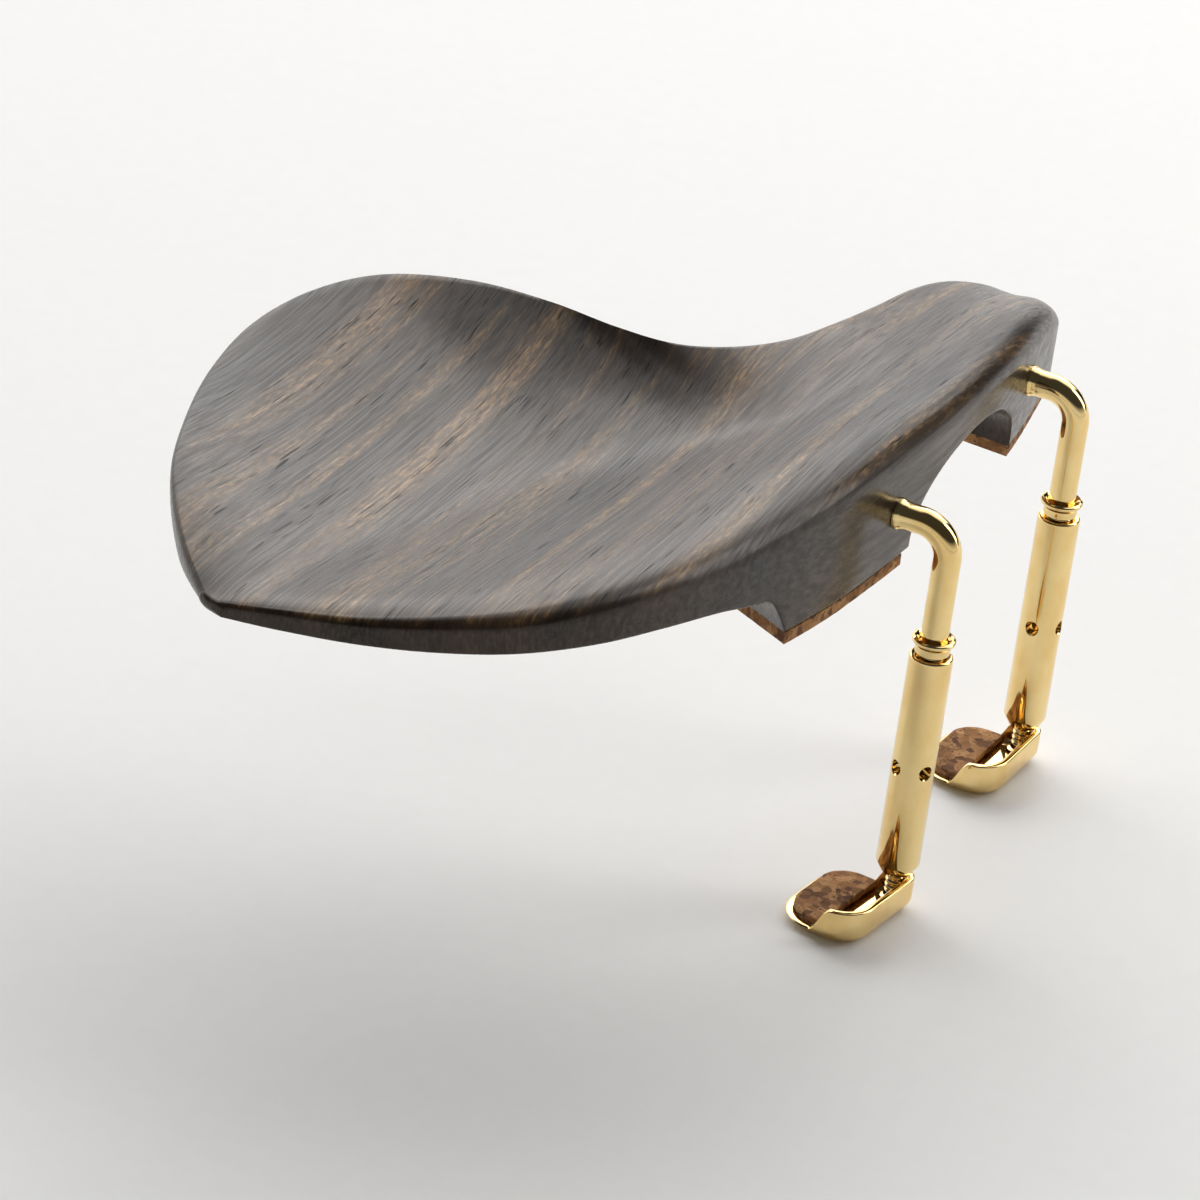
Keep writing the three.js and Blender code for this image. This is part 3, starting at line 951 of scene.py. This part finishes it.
def threaded(centre, radius, high, low, hand, taper=0.5, sides=40):
    """Rings down a threaded rod, from high to low, before any mirroring.

    hand is 1 for a right-hand thread and -1 for a left-hand one.
    """
    chosen = settings("clamp")
    steps = max(int((high - low) / chosen.pitch * 10), 8)
    rings = []
    for i in range(steps + 1):
        z = mix(high, low, i / steps)
        # the thread runs out at both ends
        run_out = min(smooth((high - z) / chosen.pitch), smooth((z - low) / chosen.pitch))
        radii = []
        for k in range(sides):
            phase = (z / chosen.pitch - hand * k / sides) % 1.0
            groove = 0.5 - 0.5 * math.cos(2 * math.pi * phase)
            radii.append(radius - chosen.thread_depth * run_out * groove)
        rings.append(ring_about(centre + Vector((0, 0, z)), X_WAY, Y_WAY, radii))
    end = [radius - taper * MM] * sides
    rings.append(ring_about(centre + Vector((0, 0, low - 0.25 * MM)), X_WAY, Y_WAY, end))
    return rings


def hook_mesh(side):
    """Bent rod: out of the wood, over the edge and down, with its lower end threaded."""
    low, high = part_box("hook_" + side)
    axis = axis_of(side)
    height = hook_height(side)
    sides = 40
    radius = HOOK_R * MM
    rings = []

    def level(y, r):
        rings.append(ring_about(Vector((axis.x, y, height)), X_WAY, Z_WAY, [r] * sides))

    level(high.y, radius - 0.4 * MM)
    level(high.y - 0.4 * MM, radius)
    # the shoulder stands against the wood and flares from the rod
    bead_y = (along_stations(0, share_at(axis.x / MM + ORIGIN.x)).y - ORIGIN.y) * MM
    for along, r in SHOULDER:
        level(bead_y + along * MM, r * MM)
    bend = HOOK_BEND * MM
    bend_y = axis.y + bend
    bend_z = height - bend
    steps = 26
    for i in range(steps + 1):
        a = math.pi / 2 * i / steps
        centre = Vector((axis.x, bend_y - bend * math.sin(a), bend_z + bend * math.cos(a)))
        up_way = Vector((0, -math.sin(a), math.cos(a)))
        rings.append(ring_about(centre, X_WAY, up_way, [radius] * sides))
    thread_top = top("lock_collar_" + side) - 0.9 * MM
    # The bend ends with its "up" pointing to -Y, so the leg is mirrored to start there. That
    # leaves its thread left-handed, like the stud's.
    leg = threaded(axis, radius, thread_top, low.z + 0.25 * MM, 1)
    rings += [[Vector((p.x, 2 * axis.y - p.y, p.z)) for p in ring] for ring in leg]
    return skin(rings)


def collar_mesh(side):
    """Flanged lock collar: a flat flange over a grooved neck."""
    low, high = bottom("lock_collar_" + side), top("lock_collar_" + side)
    bore = COLLAR_BORE * MM
    neck, flange = 1.95 * MM, 2.45 * MM
    profile = [(bore, low), (neck - 0.08 * MM, low), (neck, low + 0.08 * MM)]
    profile += [(neck, high - 1.15 * MM), (neck + 0.06 * MM, high - 0.95 * MM)]
    profile += [(neck + 0.22 * MM, high - 0.72 * MM), (flange - 0.08 * MM, high - 0.55 * MM)]
    profile += arc((flange - 0.22 * MM, high - 0.3 * MM), (0.22 * MM, 0.22 * MM), -50, 80, 8)
    profile += [(flange - 0.3 * MM, high), (flange - 0.42 * MM, high - 0.06 * MM)]
    profile += [(1.85 * MM, high - 0.34 * MM), (bore, high - 0.5 * MM)]
    return turn(profile, axis_of(side))


def barrel_mesh(side):
    """Turnbuckle barrel with countersunk cross holes and a coned lower end."""
    low, high = bottom("barrel_" + side), top("barrel_" + side)
    radius = BARREL_R * MM
    hole_z = KEY_HOLE_Z * MM
    bore = COLLAR_BORE * MM
    profile = [(1.38 * MM, low), (1.7 * MM, low), (1.78 * MM, low + 0.06 * MM)]
    profile += [(radius - 0.06 * MM, low + 1.18 * MM), (radius, low + 1.36 * MM)]
    profile += [(radius, high - 0.42 * MM)]
    profile += arc((radius - 0.3 * MM, high - 0.3 * MM), (0.3 * MM, 0.3 * MM), 0, 90, 6)[1:]
    profile += [(1.68 * MM, high), (bore, high - 0.1 * MM), (bore, hole_z + 1.6 * MM)]
    profile += [(1.14 * MM, hole_z + 1.3 * MM), (1.14 * MM, low + 0.3 * MM)]
    axis = axis_of(side)
    key = settings("clamp").key_hole
    tools = []
    for quarter in (0, 90):
        angle = math.radians(KEY_TURN[side] + quarter)
        way = Vector((math.cos(angle), math.sin(angle), 0))
        flat_way = Vector((-math.sin(angle), math.cos(angle), 0))
        rings = []
        for reach, grow in KEY_HOLE_RINGS:
            centre = axis + Vector((0, 0, hole_z)) + way * (reach * MM)
            rings.append(ring_about(centre, flat_way, Z_WAY, [key + grow * MM] * 32))
        tools.append(skin(rings))
    return cut(turn(profile, axis, 72), tools)


def stud_mesh(side):
    """Left-hand threaded stud, with the small flange that seats it in the foot."""
    axis = axis_of(side)
    floor = bottom("foot_cork_" + side) - 0.3 * MM
    high = top("stud_" + side)
    sides = 36
    radius = STUD_R * MM
    thread_low = floor + 1.15 * MM
    rings = [ring_about(axis + Vector((0, 0, high)), X_WAY, Y_WAY, [radius - 0.3 * MM] * sides)]
    rings += threaded(axis, radius, high - 0.3 * MM, thread_low, -1, taper=0.0, sides=sides)[:-1]
    for up, r in STUD_FLANGE:
        rings.append(
            ring_about(axis + Vector((0, 0, floor + up * MM)), X_WAY, Y_WAY, [r * MM] * sides)
        )
    return skin(rings)


# The tray's outline is drawn about its stud: x to the treble side, y inwards.
TRAY = {"left": -12.4, "right": 2.0, "outer": -2.2, "inner": 8.8}
TRAY_CORNERS = (
    ("right", "outer", 2.0, -90),
    ("right", "inner", 4.5, 0),
    ("left", "inner", 5.0, 90),
    ("left", "outer", 4.0, 180),
)
ARC_STEPS = 12
SIDE_STEPS = 14
TRAY_COUNT = 4 * (ARC_STEPS + SIDE_STEPS)


def tray_outline(insets):
    """Rounded outline drawn in by its own inset at each point, in millimetres."""
    corners = []
    for across, along, radius, start in TRAY_CORNERS:
        sx = -1 if across == "right" else 1
        sy = 1 if along == "outer" else -1
        corners.append((TRAY[across] + sx * radius, TRAY[along] + sy * radius, radius, start))
    points = []
    number = 0
    for k, (cx, cy, radius, start) in enumerate(corners):
        for i in range(ARC_STEPS + 1):
            a = math.radians(start + 90 * i / ARC_STEPS)
            r = max(radius - insets[number], 0.25)
            points.append((cx + r * math.cos(a), cy + r * math.sin(a)))
            number += 1
        nx, ny, next_radius, next_start = corners[(k + 1) % 4]
        for i in range(1, SIDE_STEPS):
            inset = insets[number]
            a = math.radians(start + 90)
            r = max(radius - inset, 0.25)
            s = max(next_radius - inset, 0.25)
            here = (cx + r * math.cos(a), cy + r * math.sin(a))
            there = (nx + s * math.cos(a), ny + s * math.sin(a))
            t = i / SIDE_STEPS
            points.append((mix(here[0], there[0], t), mix(here[1], there[1], t)))
            number += 1
    return points


def turned_about(axis, angle, x, y, z):
    """A tray's own point, in millimetres, turned about the clamp's axis and put in place."""
    across = x * math.cos(angle) - y * math.sin(angle)
    along = x * math.sin(angle) + y * math.cos(angle)
    return axis + Vector((across, along, z)) * MM


def tray_mesh(side):
    """Bent-plate tray: floor under the violin's back, wall round the outer side only."""
    axis = axis_of(side)
    low = bottom("foot_" + side) / MM
    wall_top = top("foot_" + side) / MM
    floor = low + 0.7
    wall = settings("clamp").wall / MM
    under_round, inner_round = 1.7, 0.9
    turned = math.radians(TRAY_TURN[side])
    base = tray_outline([0.0] * TRAY_COUNT)
    # the wall falls away to the floor once it has turned in past the violin's edge
    fall = [smooth((y - 1.2) / 2.4) for _, y in base]
    heights = [mix(wall_top - 0.2, floor + 0.04, f) for f in fall]

    def outer_inset(z):
        rise = min(max((z - low) / under_round, 0.0), 1.0)
        return under_round * (1 - math.sin(math.acos(1 - rise)))

    def inner_inset(z):
        rise = min(max((z - floor) / inner_round, 0.0), 1.0)
        return wall + inner_round * (1 - math.sin(math.acos(1 - rise)))

    rings = []

    def ring(insets, zs):
        points = tray_outline(insets)
        rings.append([turned_about(axis, turned, x, y, z) for (x, y), z in zip(points, zs)])

    for inset in (5.0, 4.0):
        ring([inset] * TRAY_COUNT, [low] * TRAY_COUNT)
    steps = 16
    for i in range(steps + 1):
        level = low + under_round * (1 - math.cos(math.pi / 2 * i / steps))
        zs = [min(level, h) for h in heights]
        ring([outer_inset(z) for z in zs], zs)
    ring([outer_inset(h) for h in heights], heights)
    for angle in range(20, 181, 20):
        a = math.radians(angle)
        insets, zs = [], []
        for h in heights:
            first, second = outer_inset(h), inner_inset(h)
            half = (second - first) / 2
            insets.append(first + half * (1 - math.cos(a)))
            zs.append(h + min(0.2, 0.4 * half) * math.sin(a))
        ring(insets, zs)
    for i in range(steps + 1):
        level = floor + inner_round * (1 - math.sin(math.pi / 2 * i / steps))
        zs = [min(level, h) for h in heights]
        ring([inner_inset(z) for z in zs], zs)
    for inset in (4.0, 5.0):
        ring([inset] * TRAY_COUNT, [floor] * TRAY_COUNT)
    return skin(rings)


def foot_cork_outline(side):
    axis = axis_of(side)
    turned = math.radians(TRAY_TURN[side])
    outline = []
    for x, y in tray_outline([1.1] * TRAY_COUNT):
        y = max(y, 2.5)
        if outline and (Vector((x, y)) - outline[-1]).length < 0.02:
            continue
        outline.append(Vector((x, y)))
    return [turned_about(axis, turned, p.x, p.y, 0.0) for p in outline]


def make_on_both_sides(label, build, body, node, maker, crease=35):
    for side in SIDES:
        name = f"{label}_{side}"
        piece(
            name, build(side), f"{body}_{side}", f"{node}_{side}", material_of(maker), crease
        )


class CHINREST_OT_hooks(bpy.types.Operator):
    """Bent gold rods that screw into the plate"""

    bl_idname = "chinrest.hooks"
    bl_label = "Hooks"

    def execute(self, context):
        make_on_both_sides("bent_hook", hook_mesh, "hook", "hook", gold_material)
        return {"FINISHED"}


class CHINREST_OT_collars(bpy.types.Operator):
    """Flanged lock collars above the barrels"""

    bl_idname = "chinrest.collars"
    bl_label = "Lock collars"

    def execute(self, context):
        make_on_both_sides(
            "flanged_collar", collar_mesh, "collar", "lock_collar", gold_material
        )
        return {"FINISHED"}


class CHINREST_OT_barrels(bpy.types.Operator):
    """Turnbuckle barrels with cross holes for the key"""

    bl_idname = "chinrest.barrels"
    bl_label = "Barrels"

    def execute(self, context):
        make_on_both_sides(
            "turnbuckle", barrel_mesh, "barrel", "barrel", gold_material, 30
        )
        return {"FINISHED"}


class CHINREST_OT_feet(bpy.types.Operator):
    """Tray feet with their studs and cork"""

    bl_idname = "chinrest.feet"
    bl_label = "Feet"

    def execute(self, context):
        make_on_both_sides("stud_screw", stud_mesh, "foot", "stud", gold_material)
        make_on_both_sides("tray_foot", tray_mesh, "foot", "foot", gold_material, 50)
        for seed, side in enumerate(SIDES):
            node = "foot_cork_" + side
            made = cork_slab(foot_cork_outline(side), bottom(node), top(node), 20.0 + seed)
            material = material_of(cork_material)
            piece("cork_in_foot_" + side, made, "foot_" + side, node, material)
        return {"FINISHED"}


# ---- stage --------------------------------------------------------------------------------------
FLOOR_SIZE = 4.0
# the floor lies this far under the object at rest, in millimetres
FLOOR_GAP = 0.05
WORLD_STRENGTH = 1.45
# the black flag's azimuth from the camera's and its elevation, in degrees
FLAG_AZIMUTH, FLAG_ELEVATION = 132, 11
LIGHT_DISTANCE = 1.2
# Azimuth from the camera's, elevation, width, height and power: a wide box beyond the object,
# which the cup mirrors to the camera, and a narrow side box for the rods.
SOFT_BOXES = {
    "sweep_box": (180, 40, 2.0, 0.7, 9.0),
    "side_box": (105, 30, 0.4, 0.9, 3.0),
}


def soft_box(name, place, target, width, height, power):
    light = bpy.data.lights.new(name, "AREA")
    light.shape = "RECTANGLE"
    light.size, light.size_y = width, height
    light.energy = power
    obj = bpy.data.objects.new(name, light)
    bpy.context.scene.collection.objects.link(obj)
    obj.location = place
    obj.rotation_euler = (Vector(target) - Vector(place)).to_track_quat("-Z", "Y").to_euler()
    return obj


def towards(azimuth, elevation):
    """Unit vector from the object to a camera or light at this azimuth and elevation."""
    a, e = math.radians(azimuth), math.radians(elevation)
    return Vector((math.sin(a) * math.cos(e), -math.cos(a) * math.cos(e), math.sin(e)))


class CHINREST_OT_stage(bpy.types.Operator):
    """Pale floor, soft studio light and the camera"""

    bl_idname = "chinrest.stage"
    bl_label = "Stage"

    def execute(self, context):
        chosen = settings("stage")
        scene = context.scene
        low, high = CAD_BOX
        centre = (low + high) / 2

        floor_z = low.z - FLOOR_GAP * MM
        made = bmesh.new()
        bmesh.ops.create_grid(made, x_segments=8, y_segments=8, size=FLOOR_SIZE)
        bmesh.ops.translate(made, verts=made.verts, vec=(centre.x, centre.y, floor_z))
        mesh = bpy.data.meshes.new("paper_floor")
        made.to_mesh(mesh)
        made.free()
        mesh.materials.append(material_of(floor_material))
        floor = bpy.data.objects.new("paper_floor", mesh)
        scene.collection.objects.link(floor)

        world = bpy.data.worlds.new("studio")
        world.use_nodes = True
        sky = world.node_tree
        background = sky.nodes["Background"]
        # a white sweep beyond the object, up to nearly overhead, and a dark room behind the
        # camera
        direction = add_node(sky, "ShaderNodeTexCoord").outputs["Generated"]
        beyond = add_node(
            sky,
            "ShaderNodeVectorMath",
            {0: direction, 1: towards(chosen.azimuth + 180, 0)},
            operation="DOT_PRODUCT",
        ).outputs["Value"]
        height = add_node(sky, "ShaderNodeSeparateXYZ", {"Vector": direction}).outputs["Z"]
        sweep = add_node(
            sky,
            "ShaderNodeValToRGB",
            {"Fac": height},
            stops=[(0.0, grey(1.0)), (0.95, grey(1.0)), (0.995, grey(0.04))],
        ).outputs["Color"]
        wall = add_node(
            sky,
            "ShaderNodeValToRGB",
            {"Fac": height},
            stops=[(0.0, grey(0.55)), (0.10, grey(0.45)), (0.30, grey(0.03))],
        ).outputs["Color"]
        side = add_node(
            sky,
            "ShaderNodeValToRGB",
            {"Fac": beyond},
            stops=[(0.0, grey(0.0)), (0.25, grey(1.0))],
        ).outputs["Color"]
        open_glow = add_node(
            sky, "ShaderNodeMix", {FACTOR: side, FIRST: wall, SECOND: sweep}, data_type="RGBA"
        ).outputs[MIXED]
        # a black flag low on the right, which the rolled crest mirrors as its dark band
        flag = add_node(
            sky,
            "ShaderNodeVectorMath",
            {0: direction, 1: towards(chosen.azimuth + FLAG_AZIMUTH, FLAG_ELEVATION)},
            operation="DOT_PRODUCT",
        ).outputs["Value"]
        flag_part = add_node(
            sky,
            "ShaderNodeValToRGB",
            {"Fac": flag},
            stops=[(0.87, grey(0.0)), (0.925, grey(1.0))],
        ).outputs["Color"]
        glow = add_node(
            sky,
            "ShaderNodeMix",
            {FACTOR: flag_part, FIRST: open_glow, SECOND: grey(0.01)},
            data_type="RGBA",
        ).outputs[MIXED]
        sky.links.new(glow, background.inputs["Color"])
        background.inputs["Strength"].default_value = WORLD_STRENGTH
        scene.world = world

        for name, (azimuth, elevation, width, height, power) in SOFT_BOXES.items():
            way = towards(chosen.azimuth + azimuth, elevation)
            soft_box(name, centre + way * LIGHT_DISTANCE, centre, width, height, power)

        camera_data = bpy.data.cameras.new("camera")
        camera_data.angle = math.radians(chosen.view_angle)
        camera_data.clip_start, camera_data.clip_end = 0.01, 20.0
        camera = bpy.data.objects.new("camera", camera_data)
        scene.collection.objects.link(camera)
        back = towards(chosen.azimuth, chosen.elevation)
        camera.location = centre + back * chosen.distance
        camera.rotation_euler = (-back).to_track_quat("-Z", "Y").to_euler()
        camera.rotation_euler.rotate_axis("Z", math.radians(chosen.roll))
        scene.camera = camera
        scene.view_settings.view_transform = "Standard"
        return {"FINISHED"}


# ---- add-on ---------------------------------------------------------------------------------------
PIECE_OPERATORS = (
    CHINREST_OT_plate,
    CHINREST_OT_cork_pads,
    CHINREST_OT_hooks,
    CHINREST_OT_collars,
    CHINREST_OT_barrels,
    CHINREST_OT_feet,
    CHINREST_OT_stage,
)


SETTINGS = {
    "plate": PlateSettings,
    "clamp": ClampSettings,
    "cork": CorkSettings,
    "stage": StageSettings,
}


class CHINREST_PT_panel(bpy.types.Panel):
    """Lists the chin rest's pieces and settings"""

    bl_idname = "CHINREST_PT_panel"
    bl_label = "Chin Rest"
    bl_space_type = "VIEW_3D"
    bl_region_type = "UI"
    bl_category = "Chin Rest"

    def draw(self, context):
        for operator in PIECE_OPERATORS:
            self.layout.operator(operator.bl_idname)
        for name in SETTINGS:
            group = getattr(context.scene, "chin_rest_" + name)
            box = self.layout.box()
            for key in group.bl_rna.properties.keys():
                if key not in ("rna_type", "name"):
                    box.prop(group, key)


def register():
    for cls in (*SETTINGS.values(), *PIECE_OPERATORS, CHINREST_PT_panel):
        bpy.utils.register_class(cls)
    for name, group in SETTINGS.items():
        setattr(bpy.types.Scene, "chin_rest_" + name, PointerProperty(type=group))


def unregister():
    for name in SETTINGS:
        delattr(bpy.types.Scene, "chin_rest_" + name)
    for cls in (CHINREST_PT_panel, *reversed(PIECE_OPERATORS), *reversed(SETTINGS.values())):
        bpy.utils.unregister_class(cls)


def main():
    register()
    bpy.ops.chinrest.plate()
    bpy.ops.chinrest.cork_pads()
    bpy.ops.chinrest.hooks()
    bpy.ops.chinrest.collars()
    bpy.ops.chinrest.barrels()
    bpy.ops.chinrest.feet()
    bpy.ops.chinrest.stage()


if __name__ == "__main__":
    main()
